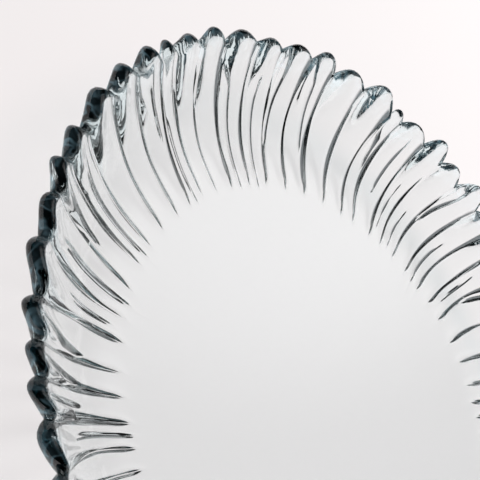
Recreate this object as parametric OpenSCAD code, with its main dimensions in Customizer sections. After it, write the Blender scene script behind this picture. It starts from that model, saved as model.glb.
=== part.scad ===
// Oval serving platter in clear pressed glass, moulded as one piece.
// A flat well runs out into a flaring rim of radial pleats, and the rim ends in a thick lobed lip.
// The long axis is X, the short axis is Y, and the flat base rests on the plane z = 0.
// All sizes are in millimetres and all angles are in degrees.

/* [Outline] */
// Length of the oval that the longest lobes of the lip reach up to, along X
platter_length = 404; // [350:1:460]
// Width of that oval, along Y
platter_width = 266; // [236:1:310]
// Height of the lip above the table
platter_height = 39; // [28:0.5:48]

/* [Well] */
// Length of the flat well
well_length = 268; // [230:1:290]
// Width of the flat well
well_width = 176; // [150:1:186]
// Thickness of the glass under the well
well_thickness = 5; // [4.25:0.25:7]

/* [Rim] */
// Thickness of the glass at the lip, on the crown of a pleat
lip_thickness = 7; // [5.75:0.25:8.5]
// Power of the upward sweep: 1 is a straight flare, and a higher power turns up later
rim_sweep = 2.3; // [1.8:0.1:2.8]

/* [Creases] */
// Number of pleats round the rim, which is also the number of creases between them
pleat_count = 68; // [48:1:70]
// Depth of a crease in the underside
crease_depth = 3.4; // [1.2:0.1:3.6]
// Power of the pleat's crown: a higher power gives a broad pleat with a narrow crease
crease_power = 4.5; // [3:0.5:8]
// Share of the rim over which a crease fades in from the edge of the well
crease_run_in = 0.2; // [0.1:0.01:0.4]
// Share of its depth that a crease loses where it is shallowest
crease_swell = 0.35; // [0:0.05:0.6]
// Depth of a crease in the upper face, close to the lip
upper_crease = 1.3; // [0.2:0.1:1.5]

/* [Lobes of the lip] */
// How far the lip falls back between two lobes
lobe_depth = 5; // [1:0.1:6]
// How far the longest and shortest lobes differ in reach
lobe_spread = 2.5; // [0:0.1:4]
// How far the fullest and thinnest lobes differ in thickness
lobe_swell = 1.2; // [0:0.1:1.5]
// How far the tip of a lobe may lean to one side, as a share of its pleat
lobe_lean = 0.15; // [0:0.01:0.24]
// How far the lip rolls up on one side of a lobe and down on the other
lobe_roll = 1; // [0:0.1:1.6]
// Power of the lobe's round under the lip: 2 is close to an arc, and a higher power is flatter
lobe_round = 2.2; // [1.6:0.1:4]

/* [Hand-worked irregularity] */
// Angle at which the first crease lies, from the +X end
crease_start = 0.5; // [0:0.25:5]
// Swing of the crease spacing, which opens and closes in waves round the rim
drift_swing = 1.2; // [0:0.1:1.4]
// Number of those waves
drift_waves = 6; // [2:1:6]
// Most that two creases stray from their spacing at the well
crease_shift = 1.4; // [0:0.1:1.6]
// Most that two creases bow apart or together half way up the rim
crease_bend = 1.6; // [0:0.1:1.8]
// Most that two creases stray further by the time they reach the lip
crease_wander = 2.6; // [0:0.1:2.8]
// Share of the pleats that carry a branch crease along the crown
branch_share = 0.75; // [0.05:0.05:1]
// Depth of a branch crease, as a share of a full crease
branch_depth = 0.85; // [0.2:0.05:1]

/* [Hidden] */

clear_glass = [0.86, 0.92, 0.92, 0.55];

// The lip is a bead whose centre line runs half a lip thickness inside the outline.
bead = lip_thickness / 2;
well_reach = [well_length / 2, well_width / 2];
rim_reach = [platter_length / 2 - bead, platter_width / 2 - bead] - well_reach;
rim_rise = platter_height - bead - well_thickness / 2;
pleat_pitch = 360 / pleat_count;

// Places across a pleat run from -0.5 at one crease to 0.5 at the next, with the crown at 0.
shoulder = 0.38;
branch_half = 0.1;

// Branches are sorted by kind: forks come first, then spurs, then needles, and splinters last.
fork_share = 0.35;
spur_share = 0.55;
needle_share = 0.85;

// Rows of the skin: up the underside, round the lip, and down the upper face to the well.
// Each row is its place along the rim, its turn about the wall, and its cells in one pleat.
under_rows = [0.1, 0.25, 0.43, 0.62, 0.81];
lip_turns = [180, 120, 60, 0];
inner_rows = [0.5, 0.25];
rows = concat([[0, 180, 1]],
              [for (s = under_rows) [s, 180, 6]],
              [for (turn = lip_turns) [1, turn, 8]],
              [[0.75, 0, 6]],
              [for (s = inner_rows) [s, 0, 2]],
              [[0, 0, 1]]);

// The number of the first point of each row.
starts = [for (r = 0, n = 0; r < len(rows); n = n + pleat_count * rows[r][2], r = r + 1) n];

// A value from 0 to 1 that scatters from one pleat to the next and stays the same for one pleat.
function scatter(i, salt) = let(v = 43.7585 * sin(127.1 * (i % pleat_count) + 311.7 * salt)) v - floor(v);

// A smooth step from 0 at the value lo to 1 at the value hi.
function ease(lo, hi, v) = let(t = min(1, max(0, (v - lo) / (hi - lo)))) t * t * (3 - 2 * t);

// The angle of crease i at the place s along the rim: even spacing, a slow drift, and its own path.
function crease_angle(i, s) =
    let(even = pleat_pitch * i,
        shift = crease_shift * (scatter(i, 9) - 0.5),
        bend = crease_bend * (scatter(i, 11) - 0.5) * sin(180 * s),
        wander = crease_wander * (scatter(i, 1) - 0.5) * s)
    crease_start + even - drift_swing * cos(drift_waves * even) + shift + bend + wander;

// The kind of the branch crease of pleat i. A pleat has none where this is above 1.
function branch_kind(i) = scatter(i, 3) / branch_share;

// The place along the rim at which the branch crease of pleat i begins or ends.
function branch_reach(i) = 0.3 + 0.4 * scatter(i, 4);

// The place across pleat i of its branch crease. A fork swings over to join the crease on one side,
// a spur keeps beside the crown, and a needle or splinter swings off the crown.
function branch_place(i, s) =
    let(kind = branch_kind(i),
        swing = ease(branch_reach(i), 1, s),
        side = scatter(i, 2) < 0.5 ? -1 : 1)
    side * (kind < fork_share ? 0.36 - 0.3 * swing : kind < spur_share ? 0.12 : 0.25 * swing);

// How strong the branch crease of pleat i is. Forks and spurs run in from near the lip, needles run
// out from the well, and splinters lie between. All fade before the lip, so each pleat ends in one lobe.
function branch_strength(i, s) =
    let(kind = branch_kind(i), reach = branch_reach(i), fade = 1 - ease(0.8, 1, s))
    kind > 1 ? 0
    : kind < spur_share ? fade * ease(reach - 0.02, reach + 0.1, s)
    : kind < needle_share ? fade * (1 - ease(reach, reach + 0.2, s))
    : fade * ease(reach - 0.25, reach, s) * (1 - ease(reach, reach + 0.3, s));

// How near the place f across pleat i is to the branch crease: 1 on it, and 0 at its sides.
function beside_branch(i, f, s) = max(0, 1 - abs(f - branch_place(i, s)) / branch_half);

// The crease that bounds the half of pleat i in which the place f lies.
function near_crease(i, f) = f < 0 ? i : i + 1;

// How far the place f is from the tip of lobe i: 0 on the tip, and 1 in the notch on either side.
function lobe_bow(i, f) = pow(abs(2 * f + 2 * lobe_lean * scatter(i, 12) * (1 - 4 * f * f)), 2.2);

// How far back from the oval the lip lies at the place f across pleat i.
function lip_setback(i, f) =
    let(bow = lobe_bow(i, f))
    lobe_depth * (0.6 + 0.4 * scatter(near_crease(i, f), 6)) * bow
    + lobe_spread * scatter(i, 7) * (1 - bow);

// How deep the underside is cut at the place f across pleat i, as a share of a full crease.
// Each crease has a width of its own, and it opens out at the lip, where the lobes are round.
function crease_cut(i, f, s) =
    let(c = near_crease(i, f),
        own_power = crease_power * (0.7 + 0.6 * scatter(c, 8)),
        power = own_power + (lobe_round - own_power) * ease(0.75, 1, s),
        main = (0.6 + 0.4 * scatter(c, 5)) * pow(abs(2 * f), power),
        swell = 1 - crease_swell * (0.5 + 0.5 * cos(360 * (1.2 * s + scatter(c, 10)))),
        branch = branch_depth * branch_strength(i, s) * beside_branch(i, f, s))
    ease(0, crease_run_in, s) * max(swell * main, branch);

// Half the wall at the place f across pleat i. A lobe that reaches less far is thinner too.
function half_wall(i, f, row, s) =
    let(thin = lobe_swell * scatter(i, 7) * (1 - lobe_bow(i, f)) * ease(0.7, 1, row))
    (well_thickness + (lip_thickness - well_thickness) * s * s - thin) / 2;

// One point of the skin. The middle of the wall follows a power curve from the well to the lip.
// The angle turn is 0 on the upper face, 180 on the underside, and between on the round of the lip.
function skin_point(i, f, row, turn) =
    let(angle = crease_angle(i, row) * (0.5 - f) + crease_angle(i + 1, row) * (0.5 + f),
        run = [rim_reach.x * cos(angle), rim_reach.y * sin(angle)],
        width = norm(run),
        s = row * (1 - lip_setback(i, f) / width),
        slope = atan(rim_sweep * rim_rise * pow(s, rim_sweep - 1) / width),
        half = half_wall(i, f, row, s),
        upper = half - upper_crease * ease(0.5, 1, row) * pow(abs(2 * f), 3),
        under = half - crease_depth * crease_cut(i, f, row),
        reach = upper + (under - upper) * (1 - cos(turn)) / 2,
        roll = lobe_roll * (0.4 + 0.6 * scatter(i, 13)) * sin(360 * f) * ease(0.55, 1, row),
        out = reach * (sin(turn) * cos(slope) - cos(turn) * sin(slope)) - roll * sin(slope),
        up = reach * (sin(turn) * sin(slope) + cos(turn) * cos(slope)) + roll * cos(slope))
    [well_reach.x * cos(angle) + run.x * (s + out / width),
     well_reach.y * sin(angle) + run.y * (s + out / width),
     well_thickness / 2 + rim_rise * pow(s, rim_sweep) + up];

// Places across pleat i of the points of one row: the crease, a shoulder, the branch with its two
// sides, and the other shoulder. The lip has two more, half way from each shoulder to the branch.
// A row with few cells keeps the crease, or the crease and the crown.
function across(i, cells, s) =
    let(b = branch_place(i, s), left = b - branch_half, right = b + branch_half,
        low = min(-shoulder, 0.6 * left - 0.2), high = max(shoulder, 0.6 * right + 0.2))
    cells == 1 ? [-0.5]
    : cells == 2 ? [-0.5, 0]
    : cells == 6 ? [-0.5, low, left, b, right, high]
    : [-0.5, low, (low + left) / 2, left, b, right, (right + high) / 2, high];

// The points of one row, pleat by pleat round the platter.
function ring(row) =
    [for (i = [0:pleat_count - 1]) for (f = across(i, row[2], row[0])) skin_point(i, f, row[0], row[1])];

// The triangles between one row and the next in pleat i, where the two may differ in their cells.
// Each edge of the first row points at one point of the second, and the second row's edges fill in.
function stitch(r, i) =
    let(na = rows[r][2], nb = rows[r + 1][2],
        a = [for (j = [0:na]) starts[r] + (i * na + j) % (pleat_count * na)],
        b = [for (j = [0:nb]) starts[r + 1] + (i * nb + j) % (pleat_count * nb)],
        meet = [for (j = [0:na - 1]) round((j + 0.5) * nb / na)])
    concat([for (j = [0:na - 1]) [a[j], b[meet[j]], a[j + 1]]],
           [for (k = [0:nb - 1]) [a[len([for (m = meet) if (m <= k) m])], b[k], b[k + 1]]]);

// The glass: one closed skin, with the flat base below and the flat well above.
module platter() {
    last = len(rows) - 1;
    points = [for (row = rows) each ring(row)];
    base_face = [for (i = [0:pleat_count - 1]) i];
    well_face = [for (i = [pleat_count - 1:-1:0]) starts[last] + i];
    sides = [for (r = [0:last - 1]) for (i = [0:pleat_count - 1]) each stitch(r, i)];
    color(clear_glass)
        polyhedron(points = points, faces = concat([base_face, well_face], sides));
}

platter();
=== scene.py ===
# %% [markdown]
# # An oval serving platter in clear pressed glass
#
# The platter is one moulding: a flat well, a flaring rim of radial pleats, and a thick lobed lip.
# This lesson makes a finer skin of the imported solid's form, from the same sizes and in the same place, gives
# it the look of clear glass, and lights it to match the photograph.
#
# The first cell loads the solid and sets its parts down in the world, free of their parents.

import bpy
import numpy as np
from mathutils import Matrix, Vector


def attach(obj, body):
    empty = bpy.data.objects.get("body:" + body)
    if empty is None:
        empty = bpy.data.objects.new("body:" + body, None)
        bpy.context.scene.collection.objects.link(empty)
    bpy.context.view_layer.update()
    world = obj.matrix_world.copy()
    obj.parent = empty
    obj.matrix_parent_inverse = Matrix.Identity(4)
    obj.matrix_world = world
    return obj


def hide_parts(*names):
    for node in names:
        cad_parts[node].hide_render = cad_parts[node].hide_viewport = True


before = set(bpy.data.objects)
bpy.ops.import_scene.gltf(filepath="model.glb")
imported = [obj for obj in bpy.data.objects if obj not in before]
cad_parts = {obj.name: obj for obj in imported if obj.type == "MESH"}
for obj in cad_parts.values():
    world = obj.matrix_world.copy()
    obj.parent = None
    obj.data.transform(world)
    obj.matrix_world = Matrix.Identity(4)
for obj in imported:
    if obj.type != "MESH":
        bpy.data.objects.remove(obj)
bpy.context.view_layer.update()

MM = 0.001
scene = bpy.context.scene

# %% [markdown]
# ## The camera
#
# The photograph looks down on one end of the platter from close by, with the camera turned on its side,
# so the long axis runs up the picture. A camera can be aimed by eye or fitted. The edge of the well and
# the line of the lip are two ellipses in the picture, and a camera fitted to both gives the place and the
# directions below, where an aim by eye could be degrees off.

# %% Camera
CAMERA_PLACE = Vector((256.6, 133.9, 249.0)) * MM
CAMERA_RIGHT = Vector((-0.5569, -0.5007, 0.6628))
CAMERA_UP = Vector((0.6936, -0.7193, 0.0394))
LENS_MM = 60.0
SENSOR_MM = 36.0
NEAREST = 0.01

camera_data = bpy.data.cameras.new("camera")
camera_data.lens = LENS_MM
camera_data.sensor_width = SENSOR_MM
camera_data.clip_start = NEAREST
camera = bpy.data.objects.new("camera", camera_data)
scene.collection.objects.link(camera)
back = CAMERA_RIGHT.cross(CAMERA_UP).normalized()
right = CAMERA_UP.cross(back).normalized()
turn_to_view = Matrix((right, back.cross(right), back)).transposed()
camera.matrix_world = Matrix.Translation(CAMERA_PLACE) @ turn_to_view.to_4x4()
scene.camera = camera
print("camera stands", round(CAMERA_PLACE.length, 3), "m from the middle of the base")

# %% [markdown]
# ## Sizes
#
# These are the driving sizes of the glass. The rest of this cell is worked out from them: how far the well
# reaches along each axis, how far the rim reaches past it, and how high the middle of the wall climbs.

# %% Sizes of the platter, in millimetres
LENGTH, WIDTH, HEIGHT = 404.0, 266.0, 39.0
WELL_LENGTH, WELL_WIDTH, WELL_THICK = 268.0, 176.0, 5.0
LIP_THICK, RIM_SWEEP = 7.0, 2.3

WELL_REACH = np.array([WELL_LENGTH, WELL_WIDTH]) / 2
RIM_REACH = np.array([LENGTH - LIP_THICK, WIDTH - LIP_THICK]) / 2 - WELL_REACH
RIM_RISE = HEIGHT - (LIP_THICK + WELL_THICK) / 2
print("rim is", RIM_REACH, "mm wide at the end and at the side, and rises", RIM_RISE, "mm")

# %% [markdown]
# ## No two pleats alike
#
# The glass looks as if it was worked hot: each pleat has its own spacing, depth and lean. Random numbers
# could give that, but a formula in the number of the pleat gives the same platter each time. Every trait
# of a pleat has a salt of its own, so that a deep crease isn't always a crooked one.

# %% Fixed chance and smooth steps
PLEATS = 68
(WANDER, LEAN, KIND, REACH, DEPTH, NOTCH, SHORT,
 SHARP, SHIFT, PHASE, BEND, TILT, ROLL) = range(1, 14)
WAVE_HEIGHT, PLEAT_STEP, SALT_STEP = 43.7585, 127.1, 311.7


def scatter(i, salt):
    """What is left of a tall sine wave after its whole part: a fixed value from 0 to 1 for each pleat."""
    v = WAVE_HEIGHT * np.sin(np.radians(PLEAT_STEP * (i % PLEATS) + SALT_STEP * salt))
    return v - np.floor(v)


def at_least(low, chance):
    """A share from low to 1: low, plus the chance times what is left above it."""
    return low + (1 - low) * chance


def ease(lo, hi, v):
    """A smooth step: 0 up to lo, 1 from hi on, and 3t^2 - 2t^3 between them."""
    t = np.clip((v - lo) / (hi - lo), 0.0, 1.0)
    return t * t * (3 - 2 * t)


depths = scatter(np.arange(PLEATS), DEPTH)
print(PLEATS, "pleats, with a mean chance of", round(float(depths.mean()), 2), "for their depth")

# %% [markdown]
# ## Where the creases run
#
# A sharp crease on the underside parts each pleat from the next. On the real platter the creases aren't
# ruled lines: their spacing drifts in slow waves round the rim, and each one bows and wanders sideways on
# its way to the lip. The angle of a crease is therefore a sum of those few terms.

# %% Creases, in degrees
CREASE_START, DRIFT_SWING, DRIFT_WAVES = 0.5, 1.2, 6
CREASE_SHIFT, CREASE_BEND, CREASE_WANDER = 1.4, 1.6, 2.6


def crease_angle(i, s):
    """Even spacing less a slow wave, plus a shift of the crease's own.

    A bow that is widest half way up the rim and a wander that grows towards the lip are added to that.
    The place along the rim, s, is 0 at the well and 1 at the lip."""
    even = 360.0 / PLEATS * i
    own = CREASE_SHIFT * (scatter(i, SHIFT) - 0.5) + CREASE_WANDER * (scatter(i, WANDER) - 0.5) * s
    own = own + CREASE_BEND * (scatter(i, BEND) - 0.5) * np.sin(np.pi * s)
    return CREASE_START + even - DRIFT_SWING * np.cos(np.radians(DRIFT_WAVES * even)) + own


gaps = np.diff(crease_angle(np.arange(PLEATS + 1), 1.0))
print("pleats are", gaps.min().round(1), "to", gaps.max().round(1), "degrees wide at the lip")

# %% [markdown]
# ## Branches
#
# Nearly three pleats in four carry a second, shorter crease. A fork comes in from the lip and swings over to
# the crease beside it, a spur comes in straight, near the crown, a needle runs out from the well and fades,
# and a splinter lies between. They could be drawn one by one, but the eye reads only the mix, so chance
# picks a kind, a side and a length for each pleat.

# %% Branch creases, as shares of a pleat
BRANCH_SHARE = 0.75
FORKS, SPURS, NEEDLES = 0.35, 0.55, 0.85
FORK_PLACE, FORK_SWING, SPUR_PLACE, NEEDLE_SWING = 0.36, 0.3, 0.12, 0.25
SHORTEST, REACH_SPREAD, FADE_FROM = 0.3, 0.4, 0.8
JOIN_BEFORE, JOIN_AFTER, NEEDLE_FADE, SPLINTER_RISE, SPLINTER_FADE = 0.02, 0.1, 0.2, 0.25, 0.3


def branch(i, s):
    """Place across the pleat and strength, from 0 to 1, of its branch crease.

    Each kind has a window along the rim, made of smooth steps about its own reach, and all of them fade
    out at the lip. A pleat past the share that branches has a strength of 0."""
    kind = scatter(i, KIND) / BRANCH_SHARE
    reach = SHORTEST + REACH_SPREAD * scatter(i, REACH)
    lean = np.where(scatter(i, LEAN) < 0.5, -1.0, 1.0)
    swing = ease(reach, 1, s)
    short_kinds = np.where(kind < SPURS, SPUR_PLACE, NEEDLE_SWING * swing)
    place = lean * np.where(kind < FORKS, FORK_PLACE - FORK_SWING * swing, short_kinds)
    from_lip = ease(reach - JOIN_BEFORE, reach + JOIN_AFTER, s)
    needle = 1 - ease(reach, reach + NEEDLE_FADE, s)
    splinter = ease(reach - SPLINTER_RISE, reach, s) * (1 - ease(reach, reach + SPLINTER_FADE, s))
    strength = np.where(kind < SPURS, from_lip, np.where(kind < NEEDLES, needle, splinter))
    return place, np.where(kind > 1, 0.0, strength * (1 - ease(FADE_FROM, 1, s)))


kinds = scatter(np.arange(PLEATS), KIND) / BRANCH_SHARE
print("forks, spurs, needles and splinters:", np.histogram(kinds, (0, FORKS, SPURS, NEEDLES, 1))[0])

# %% [markdown]
# ## The skin of the rim
#
# The rim could be one pleat copied round, but then it would look machined. Here the whole rim is one
# surface over two parameters. One runs round the rim, pleat by pleat. The other runs up the underside,
# round the lip and down the upper face. Columns crowd together where a crease turns sharply, so their
# places across a pleat follow its creases.

# %% Columns across a pleat
SHOULDER, BRANCH_HALF, EDGE_SHARE = 0.38, 0.1, 0.6


def across(pleat, share, place):
    """Place across the pleat, from -0.5 at one crease to 0.5 at the next, for each row and column.

    A share counts the stretches between seven key places: a crease, its shoulder, the near edge, bottom and
    far edge of the branch, and the next shoulder and crease. The place runs evenly from key to key. A
    shoulder stands at a set place, or closer to its crease where a branch crowds it."""
    left, right = place - BRANCH_HALF, place + BRANCH_HALF
    crease = np.full_like(place, 0.5)
    near_shoulder = np.minimum(-SHOULDER, EDGE_SHARE * left - (1 - EDGE_SHARE) * crease)
    far_shoulder = np.maximum(SHOULDER, EDGE_SHARE * right + (1 - EDGE_SHARE) * crease)
    keys = np.stack([-crease, near_shoulder, left, place, right, far_shoulder, crease])
    cell = np.floor(share).astype(int)
    part = (share - cell)[:, None]
    column = np.arange(len(pleat))
    return (keys[cell, :, column] * (1 - part) + keys[cell + 1, :, column] * part).T


COLUMN_STEPS = (4, 5, 3, 3, 5, 4)
one_pleat = np.concatenate([k + np.arange(n) / n for k, n in enumerate(COLUMN_STEPS)])
print("each pleat has", len(one_pleat), "columns")

# %% [markdown]
# ## Depth of the creases
#
# Between two creases the underside swells towards the table. Its height across the pleat is a power of
# the distance from the crown, so a high power leaves a broad crown and a narrow, steep crease. Some creases
# are deeper than others, and each one swells and thins along its way. To match the lines of the photograph
# they are a tenth deeper along the sides than in the solid, and a quarter shallower round the ends. At the
# lip the power falls, which rounds the lobes.

# %% Creases of the underside
CREASE_DEPTH, CREASE_POWER, RUN_IN, CREASE_SWELL = 3.4, 4.5, 0.2, 0.35
LEAST_SHARP, SHARP_SPREAD, LEAST_DEEP, SWELL_WAVES = 0.7, 0.6, 0.6, 1.2
SIDE_DEPTH, END_LOSS = 1.1, 0.35
BRANCH_DEPTH, LOBE_ROUND, ROUND_FROM = 0.85, 2.2, 0.75


def crease_profile(f, side, row, angle, place, strength):
    """Depth of the underside's creases as a share of the crease depth.

    The main crease is a power of twice the place across the pleat, times its own depth and a slow cosine
    swell. A branch is a straight-sided notch. The deeper of the two counts, and both start at the well."""
    power = CREASE_POWER * (LEAST_SHARP + SHARP_SPREAD * scatter(side, SHARP))
    power = power + (LOBE_ROUND - power) * ease(ROUND_FROM, 1, row)
    wave = np.cos(2 * np.pi * (SWELL_WAVES * row + scatter(side, PHASE)))
    swell = 1 - CREASE_SWELL * (0.5 + 0.5 * wave)
    main = at_least(LEAST_DEEP, scatter(side, DEPTH)) * swell * np.abs(2 * f) ** power
    notch = BRANCH_DEPTH * strength * np.maximum(0, 1 - np.abs(f - place) / BRANCH_HALF)
    round_rim = SIDE_DEPTH - END_LOSS * np.cos(angle) ** 2
    return round_rim * ease(0, RUN_IN, row) * np.maximum(main, notch)


print("creases are up to", CREASE_DEPTH * SIDE_DEPTH, "mm deep along the sides")

# %% [markdown]
# ## Lobes of the lip
#
# Each pleat ends in a rounded lobe. Lobes reach out by different amounts, lean a little to one side, and
# roll: one edge stands up and the other dips, so they overlap like scales. The wall is followed along its
# middle, which climbs as a power of the way out, and the skin lies half a wall to either side of it.

# %% Surface of the rim and lip
UPPER_CREASE, UPPER_POWER, UPPER_FROM = 1.3, 3, 0.5
LOBE_DEPTH, LOBE_SPREAD, LOBE_SWELL, LOBE_FROM = 5.0, 2.5, 1.2, 0.7
LOBE_LEAN, LOBE_BOW, LEAST_NOTCH = 0.15, 2.2, 0.6
LOBE_ROLL, LEAST_ROLL, ROLL_FROM = 1.0, 0.4, 0.55
LIP_FROM, LIP_CORE = 0.84, 0.2
CHEEK_RISE, CHEEK_FALL, CHEEK_TURN = (-0.25, 0.2), (0.4, 0.5), (60, 120)


def skin(row_s, turn, pleat, share):
    """Points of the rim. Rows have a place along it and a turn about the wall, columns a pleat and a share.

    The middle of the wall lies on an ellipse that grows evenly with s, at a height that grows as s to the
    power of the sweep. A point stands off from it by half the wall, less the creases, in the direction that
    the turn gives: 0 is straight up from the wall, 90 is outwards along it and 180 is straight down. The
    depth of the creases and the share of the lip come back with the points. The lip's share is full on the
    outer underside of one cheek of each lobe, and low on the rest of the lobe."""
    row = row_s[:, None]
    place, strength = branch(pleat, row)
    f = across(pleat, share, place)
    angle = np.radians(crease_angle(pleat, row) * (0.5 - f) + crease_angle(pleat + 1, row) * (0.5 + f))
    run = np.stack([RIM_REACH[0] * np.cos(angle), RIM_REACH[1] * np.sin(angle)])
    width = np.hypot(*run)
    side = np.where(f < 0, pleat, pleat + 1)
    crease = crease_profile(f, side, row, angle, place, strength)

    short = scatter(pleat, SHORT)
    bow = np.abs(2 * f + 2 * LOBE_LEAN * scatter(pleat, TILT) * (1 - 4 * f * f)) ** LOBE_BOW
    notch = at_least(LEAST_NOTCH, scatter(side, NOTCH))
    setback = LOBE_DEPTH * notch * bow + LOBE_SPREAD * short * (1 - bow)
    s = row * (1 - setback / width)
    slope = np.arctan(RIM_SWEEP * RIM_RISE * s ** (RIM_SWEEP - 1) / width)
    wall = WELL_THICK + (LIP_THICK - WELL_THICK) * s * s
    half = (wall - LOBE_SWELL * short * (1 - bow) * ease(LOBE_FROM, 1, row)) / 2
    upper = half - UPPER_CREASE * ease(UPPER_FROM, 1, row) * np.abs(2 * f) ** UPPER_POWER
    under = half - CREASE_DEPTH * crease

    t = np.radians(turn)[:, None]
    reach = upper + (under - upper) * (1 - np.cos(t)) / 2
    own_roll = LOBE_ROLL * at_least(LEAST_ROLL, scatter(pleat, ROLL))
    roll = own_roll * np.sin(2 * np.pi * f) * ease(ROLL_FROM, 1, row)
    along, off = reach * np.sin(t), reach * np.cos(t) + roll
    out = along * np.cos(slope) - off * np.sin(slope)
    up = along * np.sin(slope) + off * np.cos(slope)
    points = np.stack([WELL_REACH[0] * np.cos(angle) + run[0] * (s + out / width),
                       WELL_REACH[1] * np.sin(angle) + run[1] * (s + out / width),
                       WELL_THICK / 2 + RIM_RISE * s ** RIM_SWEEP + up], axis=-1)
    # The cheek places the painted highlight: the lip's glow is brightest on the outer underside of one cheek.
    cheek = ease(*CHEEK_RISE, f) * (1 - ease(*CHEEK_FALL, f)) * ease(*CHEEK_TURN, turn)[:, None]
    lip = ease(LIP_FROM, 1, row) * at_least(LIP_CORE, cheek)
    return points, crease * (1 - np.cos(t)) / 2, lip


UNDER_ROWS, LIP_ROWS, UPPER_ROWS = 28, 10, 16
lip_turn = np.linspace(180, 0, LIP_ROWS + 2)[1:-1]
row_s = np.concatenate([np.linspace(0, 1, UNDER_ROWS), np.ones(LIP_ROWS), np.linspace(1, 0, UPPER_ROWS)])
turn = np.concatenate([np.full(UNDER_ROWS, 180.0), lip_turn, np.zeros(UPPER_ROWS)])
pleat = np.repeat(np.arange(PLEATS), len(one_pleat))
share = np.tile(one_pleat, PLEATS)
rim, in_crease, in_lip = skin(row_s, turn, pleat, share)
print("rim grid is", rim.shape[0], "rows by", rim.shape[1], "columns")

# %% [markdown]
# ## The mesh
#
# The flat base and the flat well close the rim below and above. A single fan of long thin triangles would
# do, but a few inner rings shade better. The grid is one closed skin, so the glass has a true inside for
# light to travel through.

# %% Faces of the platter
INNER_RINGS = np.array([0.9, 0.6, 0.3])


def shrunk(ring, shares):
    """Copies of a flat ring, drawn in towards the middle by each share and left at its height."""
    return ring * np.stack([shares, shares, np.ones(len(shares))], axis=-1)[:, None, :]


rings = np.concatenate([shrunk(rim[0], INNER_RINGS[::-1]), rim, shrunk(rim[-1], INNER_RINGS)])
n_rows, n_columns = rings.shape[:2]
points = np.concatenate([rings.reshape(-1, 3), [[0, 0, 0], [0, 0, WELL_THICK]]]) * MM
grid = np.arange(n_rows * n_columns).reshape(n_rows, n_columns)
ahead = np.roll(grid, -1, axis=1)
quads = np.stack([grid[:-1], ahead[:-1], ahead[1:], grid[1:]], axis=-1).reshape(-1, 4)
base_pole, well_pole = len(points) - 2, len(points) - 1
base_fan = np.stack([ahead[0], grid[0], np.full(n_columns, base_pole)], axis=-1)
well_fan = np.stack([grid[-1], ahead[-1], np.full(n_columns, well_pole)], axis=-1)

skin_mesh = bpy.data.meshes.new("glass_platter")
skin_mesh.from_pydata(points, [], quads.tolist() + base_fan.tolist() + well_fan.tolist())
skin_mesh.polygons.foreach_set("use_smooth", np.ones(len(skin_mesh.polygons), bool))
skin_mesh.update()
print("skin has", 2 * len(quads) + 2 * n_columns, "triangles")

# %% [markdown]
# ## What the glass needs to know
#
# Two values ride on the points of the mesh for the material to read: how deep in a crease a point lies,
# and how much it counts as lip. The first also sets the painted shade in the creases, and the second the
# painted highlight on the lip. They could be painted on by hand, but the surface's own formula gives both.
# Then the skin takes the place of the solid and moves with it.


# %% Attributes and place
def keep(name, values):
    """Writes one number to each point: the rim's own values, and 0 on the inner rings and the two poles."""
    whole = np.pad(values, ((len(INNER_RINGS), len(INNER_RINGS)), (0, 0)))
    attribute = skin_mesh.attributes.new(name, "FLOAT", "POINT")
    attribute.data.foreach_set("value", np.append(whole.ravel(), [0.0, 0.0]).astype(np.float32))


keep("crease", in_crease)
keep("lip", in_lip)
glass_platter = bpy.data.objects.new("glass_platter", skin_mesh)
scene.collection.objects.link(glass_platter)
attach(glass_platter, "root")
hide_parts("platter")
print("points in the lip:", int((in_lip > 0).sum()), "of", len(points))

# %% [markdown]
# ## Writing shaders as expressions
#
# A shader is a graph of small nodes. They could be placed by hand in the editor, but sums are easier to
# read as sums. This class wraps one socket, so that adding or multiplying two of them adds the Math node,
# and one method makes any other node.


# %% Socket expressions
class Value:
    """One output socket of a node tree, with Python's operators standing for Math nodes."""

    def __init__(self, tree, socket):
        self.tree, self.socket = tree, socket

    def node(self, kind, settings=None, out=0, **inputs):
        """Adds a node of that type, sets its own settings and then its sockets, and returns an output.

        An input is named as on the node, with _ for a space, or in0, in1 and so on by its number."""
        made = self.tree.nodes.new(kind)
        for name, value in (settings or {}).items():
            setattr(made, name, value)
        for name, value in inputs.items():
            numbered = name.startswith("in") and name[2:].isdigit()
            socket = made.inputs[int(name[2:]) if numbered else name.replace("_", " ")]
            if isinstance(value, Value):
                self.tree.links.new(value.socket, socket)
            else:
                socket.default_value = value
        return Value(self.tree, made.outputs[out] if made.outputs else None)

    def math(self, operation, a, b=0.0):
        """One Math node on a and b."""
        return self.node("ShaderNodeMath", {"operation": operation}, in0=a, in1=b)

    def __add__(self, other):
        return self.math("ADD", self, other)

    def __radd__(self, other):
        return self.math("ADD", other, self)

    def __sub__(self, other):
        return self.math("SUBTRACT", self, other)

    def __rsub__(self, other):
        return self.math("SUBTRACT", other, self)

    def __mul__(self, other):
        return self.math("MULTIPLY", self, other)

    def __rmul__(self, other):
        return self.math("MULTIPLY", other, self)


def new_material(name):
    """A material with an empty graph, and the Object coordinates in it as a Value."""
    material = bpy.data.materials.new(name)
    material.use_nodes = True
    material.node_tree.nodes.clear()
    start = Value(material.node_tree, None)
    return material, start.node("ShaderNodeTexCoord", out="Object")


def smooth_range(value, start, stop, low=0.0, high=1.0):
    """A smooth step of a socket: low up to start, high from stop on."""
    return value.node("ShaderNodeMapRange", {"interpolation_type": "SMOOTHSTEP"}, Value=value,
                      From_Min=start, From_Max=stop, To_Min=low, To_Max=high)


print("materials are written with", Value.__name__)
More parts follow.
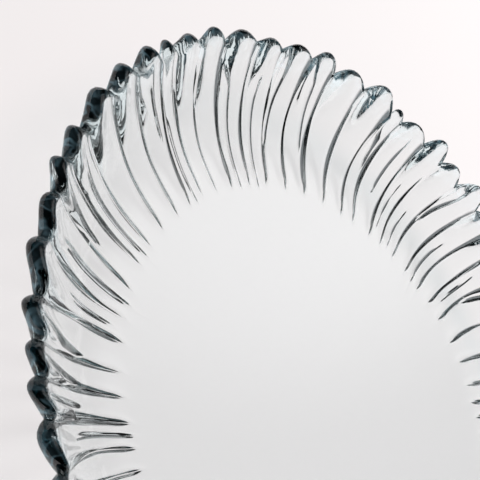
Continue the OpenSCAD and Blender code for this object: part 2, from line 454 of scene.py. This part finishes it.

# %% [markdown]
# ## The glass
#
# Clear soda-lime glass bends light with an index of about 1.5 and takes a little red out of it, so a long
# way through the lip looks blue-green. Pressed glass is never quite smooth: a slow ripple from the mould
# bends what is seen through it, and the lip has a finer crinkle. A tint on the surface alone would colour
# the thin well as much as the thick lip, so the colour comes mostly from absorption inside the glass, with
# a little more on the lip.
#
# Two things here aren't properties of clear glass, and are there to match the photograph. Deep in the
# creases a painted shade, a near-black tint, stands for the light that a real crease turns away, and makes
# their lines broader and darker. A faint painted glow in the lip, in soft swirls that are brightest on one
# cheek of each lobe, is a painted highlight for the pale streaks of light that show in it.

# %% Clear glass
RIPPLE_PER_M, HAZE_PER_M, CRINKLE_PER_M = 55.0, 14.0, 90.0
RIPPLE_LIFT, CRINKLE_LIFT, BUMP_HEIGHT, HAZE = 0.05, 5.0, 2 * MM, 0.02
CLEAR_TINT, LIP_TINT = (0.985, 0.995, 0.995, 1.0), (0.955, 0.985, 0.99, 1.0)
# Painted shade: the base colour turns near black deep in the creases, in place of light a crease turns away.
PAINTED_SHADE_TINT, PAINTED_SHADE_FROM, PAINTED_SHADE_FULL = (0.05, 0.06, 0.065, 1.0), 0.42, 0.6
# Painted highlight: the lip glows faintly, though it is no lamp, in patches and swirls of the crinkle.
PAINTED_GLOW_TINT, PAINTED_GLOW_LIGHT = (0.45, 0.76, 0.92), 0.1
SWIRL_WIDTH, SWIRL_LIGHT = 0.06, 1.6
PATCH_FROM, PATCH_FULL, PATCH_LIGHT = 0.35, 0.65, 0.3
ABSORB_TINT, ABSORB_PER_M = (0.45, 0.8, 0.85, 1.0), 8.0

glass, place = new_material("clear_glass")
ripple = place.node("ShaderNodeTexNoise", Vector=place, Scale=RIPPLE_PER_M, Detail=2.0)
haze = place.node("ShaderNodeTexNoise", Vector=place, Scale=HAZE_PER_M, Detail=3.0)
crinkle = place.node("ShaderNodeTexNoise", Vector=place, Scale=CRINKLE_PER_M, Detail=2.0, Distortion=1.2)
lip = place.node("ShaderNodeAttribute", {"attribute_name": "lip"}, out=2)
crease = place.node("ShaderNodeAttribute", {"attribute_name": "crease"}, out=2)
tint = place.node("ShaderNodeMix", {"data_type": "RGBA"}, out=2, in0=lip, in6=CLEAR_TINT, in7=LIP_TINT)
# Painted shade in the creases: the crease depth darkens the base colour towards the near-black tint.
painted_shade = smooth_range(crease, PAINTED_SHADE_FROM, PAINTED_SHADE_FULL)
tint = place.node("ShaderNodeMix", {"data_type": "RGBA"}, out=2, in0=painted_shade, in6=tint, in7=PAINTED_SHADE_TINT)
# Painted highlight on the lip: a faint emission in crinkle patches and thin swirls, brightest on one cheek.
glow_patch = smooth_range(crinkle, PATCH_FROM, PATCH_FULL, high=PATCH_LIGHT)
off_line = place.math("ABSOLUTE", crinkle - 0.5)
glow_swirl = smooth_range(off_line, 0.0, SWIRL_WIDTH, low=SWIRL_LIGHT, high=0.0)
painted_glow = place.node("ShaderNodeVectorMath", {"operation": "SCALE"}, in0=PAINTED_GLOW_TINT,
                   Scale=lip * (glow_patch + glow_swirl) * PAINTED_GLOW_LIGHT)
polish = place.node("ShaderNodeBump", Strength=RIPPLE_LIFT, Distance=BUMP_HEIGHT,
                    Height=ripple + lip * crinkle * CRINKLE_LIFT)
surface = place.node("ShaderNodeBsdfPrincipled", Base_Color=tint, Roughness=haze * HAZE, IOR=1.5,
                     Transmission_Weight=1.0, Normal=polish, Emission_Color=painted_glow,
                     Emission_Strength=1.0)
inside = place.node("ShaderNodeVolumeAbsorption", Color=ABSORB_TINT, Density=ABSORB_PER_M)
print("glass surface has", len(place.tree.nodes), "nodes")

# %% [markdown]
# ## The shadow of the glass
#
# Real glass throws a pale shadow with bright and dark bands, because it bends the lamp's light. Following
# that light would take far too many samples. Instead, a ray on its way to a lamp goes straight through,
# a little dimmed in the middle of a pleat and much more in a crease, which leaves soft dark combs.

# %% Shadow of the pleats
CROWN_SHADOW, CREASE_SHADOW = (0.99, 0.99, 0.99, 1.0), (0.5, 0.52, 0.53, 1.0)

clear = place.node("ShaderNodeBsdfTransparent", Color=CROWN_SHADOW)
dim = place.node("ShaderNodeBsdfTransparent", Color=CREASE_SHADOW)
cast = place.node("ShaderNodeMixShader", Fac=crease * crease, in1=clear, in2=dim)
to_lamp = place.node("ShaderNodeLightPath", out="Is Shadow Ray")
body = place.node("ShaderNodeMixShader", Fac=to_lamp, in1=surface, in2=cast)
place.node("ShaderNodeOutputMaterial", Surface=body, Volume=inside)
glass.cycles.emission_sampling = "NONE"
skin_mesh.materials.append(glass)
print("glass has", len(place.tree.nodes), "nodes")

# %% [markdown]
# ## The floor
#
# Clear glass shows only what is behind it and what it mirrors, so the floor is half of its look. It is a
# large sheet of pale paper that takes the platter's shadow. Where a ray comes from the camera, a mirror or
# the glass, some of the paper's own white is mixed in, and more of it far away, where the lamp is weak.


# %% Paper floor
def seen_rays(tree):
    """1 for a ray from the camera, a mirror or clear glass, and 0 for a ray that gathers light."""
    names = ("Is Camera Ray", "Is Glossy Ray", "Is Transmission Ray")
    start = Value(tree, None)
    camera_ray, glossy_ray, glass_ray = [start.node("ShaderNodeLightPath", out=name) for name in names]
    return start.math("MINIMUM", camera_ray + glossy_ray + glass_ray, 1.0)


FLOOR_HALF, FLOOR_DROP = 3.0, 0.0004
PAPER_COLOUR, PAPER_WHITE = (0.92, 0.88, 0.88, 1.0), (1.0, 0.955, 0.955, 1.0)
PAPER_GLOW, GLOW_NEAR, GLOW_FAR, SHOWN_WHITE = 0.25, 0.45, 1.1, 0.95
GRAIN_PER_M, PAPER_ROUGH, GRAIN_ROUGH = 900.0, 0.6, 0.1

corners = FLOOR_HALF * np.array([(-1, -1, 0), (1, -1, 0), (1, 1, 0), (-1, 1, 0)]) - (0, 0, FLOOR_DROP)
floor_mesh = bpy.data.meshes.new("floor")
floor_mesh.from_pydata(corners, [], [(0, 1, 2, 3)])
floor = bpy.data.objects.new("floor", floor_mesh)
scene.collection.objects.link(floor)

paper, place = new_material("pale_paper")
grain = place.node("ShaderNodeTexNoise", Vector=place, Scale=GRAIN_PER_M, Detail=2.0)
matt = place.node("ShaderNodeBsdfPrincipled", Base_Color=PAPER_COLOUR,
                  Roughness=PAPER_ROUGH + grain * GRAIN_ROUGH, Specular_IOR_Level=0.1)
white = place.node("ShaderNodeEmission", Color=PAPER_WHITE, Strength=SHOWN_WHITE)
distance = place.node("ShaderNodeVectorMath", {"operation": "LENGTH"}, out=1, in0=place)
glow = smooth_range(distance, GLOW_NEAR, GLOW_FAR, low=PAPER_GLOW)
blend = place.node("ShaderNodeMixShader", Fac=seen_rays(place.tree) * glow, in1=matt, in2=white)
place.node("ShaderNodeOutputMaterial", Surface=blend)
floor_mesh.materials.append(paper)
print("paper floor is", 2 * FLOOR_HALF, "m wide")

# %% [markdown]
# ## The sky
#
# The room beyond the paper is white where it is seen. A bright sky would be the simple way, but light from
# all sides would wash the shadow out. This one gives almost no light, so the lamp alone shapes the shadow.

# %% White surround
SKY_LIGHT, SKY_SHOWN, SKY_COLOUR = 0.04, 0.91, (1.0, 0.975, 0.975, 1.0)

world = bpy.data.worlds.new("studio")
scene.world = world
world.use_nodes = True
sky = world.node_tree.nodes["Background"]
sky.inputs["Color"].default_value = SKY_COLOUR
level = SKY_LIGHT + seen_rays(world.node_tree) * SKY_SHOWN
world.node_tree.links.new(level.socket, sky.inputs["Strength"])
print("sky shows at", SKY_LIGHT + SKY_SHOWN, "and lights at", SKY_LIGHT)

# %% [markdown]
# ## The dark tent
#
# In a white room clear glass has no outline. Studios stand dark cloth round it: a flat wall of glass still
# shows the paper behind it, while a crease or a rounded lip bends the view aside to the cloth, and reads as
# a dark line. Here the cloth is a dome that shows in mirrors and glass only: the camera and the lamp's light
# pass it by. A soft white panel on one side is mirrored faintly in the flat well, which is what tells the
# eye that a sheet of glass lies there.

# %% Dark cloth with one white panel
TENT_REACH, TENT_FOOT, TENT_TOP, TENT_ROWS, TENT_STEP = 0.7, 2.5, 89.9, 13, 7.5
CLOTH_COLOUR, CLOTH_GLOW = (0.6, 0.92, 1.0, 1.0), 0.004
PANEL_COLOUR, PANEL_GLOW = (1.0, 0.985, 0.985, 1.0), 0.95
PANEL_TURN, PANEL_RISE, PANEL_INNER, PANEL_OUTER = np.radians((-105.0, 45.0, 8.0, 35.0))


def on_dome(rise, turn):
    """A point at distance 1 in the direction that a rise from the floor and a turn from +X give."""
    return np.stack([np.cos(rise) * np.cos(turn), np.cos(rise) * np.sin(turn), np.sin(rise)], axis=-1)


rise, round_way = np.meshgrid(np.radians(np.linspace(TENT_FOOT, TENT_TOP, TENT_ROWS)),
                              np.radians(np.arange(0, 360, TENT_STEP)), indexing="ij")
grid = np.arange(rise.size).reshape(rise.shape)
ahead = np.roll(grid, -1, axis=1)
panes = np.stack([grid[:-1], grid[1:], ahead[1:], ahead[:-1]], axis=-1).reshape(-1, 4)
tent_mesh = bpy.data.meshes.new("dark_tent")
tent_mesh.from_pydata(TENT_REACH * on_dome(rise, round_way).reshape(-1, 3), [], panes.tolist())
tent = bpy.data.objects.new("dark_tent", tent_mesh)
scene.collection.objects.link(tent)
tent.visible_camera = False
tent.visible_diffuse = False
tent.visible_shadow = False

canvas, place = new_material("dark_canvas")
dark = place.node("ShaderNodeEmission", Color=CLOTH_COLOUR, Strength=CLOTH_GLOW)
white = place.node("ShaderNodeEmission", Color=PANEL_COLOUR, Strength=PANEL_GLOW)
way = place.node("ShaderNodeVectorMath", {"operation": "NORMALIZE"}, in0=place)
facing = place.node("ShaderNodeVectorMath", {"operation": "DOT_PRODUCT"}, out=1, in0=way,
                    in1=on_dome(PANEL_RISE, PANEL_TURN).tolist())
panel = smooth_range(facing, float(np.cos(PANEL_OUTER)), float(np.cos(PANEL_INNER)))
cloth = place.node("ShaderNodeMixShader", Fac=panel, in1=dark, in2=white)
place.node("ShaderNodeOutputMaterial", Surface=cloth)
canvas.cycles.emission_sampling = "NONE"
tent_mesh.materials.append(canvas)
print("tent has", len(panes), "panes")

# %% [markdown]
# ## The lamp
#
# One soft lamp above and behind the far side lights the paper, brightest at the top right of the picture,
# and drops the shadows of the pleats towards the camera. A larger lamp would wash the shadows out, and a
# smaller one would draw each crease on the paper.


# %% Soft lamp
def soft_lamp(name, stand, aim, size, watts):
    """A square area lamp at a stand, turned so that it faces the aim."""
    data = bpy.data.lights.new(name, "AREA")
    data.energy, data.size = watts, size
    lamp = bpy.data.objects.new(name, data)
    scene.collection.objects.link(lamp)
    lamp.location = stand
    lamp.rotation_euler = (Vector(aim) - Vector(stand)).to_track_quat("-Z", "Y").to_euler()
    return lamp


overhead = soft_lamp("overhead", stand=(-0.08, -0.75, 1.5), aim=(0, 0, 0), size=0.7, watts=31.0)
print("lamp stands", round(overhead.location.length, 2), "m away")

# %% [markdown]
# ## View settings
#
# Colours are shown as they are. Light through glass is followed for six turns only. More would be truer, but
# on a bright paper the light that is still trapped after six would come out somewhere and turn the creases
# and the lip grey. Leaving it out saves time and keeps them as dark as the photograph shows them.

# %% View and bounces
BOUNCES = 6
scene.view_settings.view_transform = "Standard"
scene.cycles.caustics_refractive = False
scene.cycles.caustics_reflective = False
scene.cycles.max_bounces = BOUNCES
scene.cycles.transmission_bounces = BOUNCES
scene.cycles.glossy_bounces = BOUNCES
print("light is followed for", BOUNCES, "bounces")
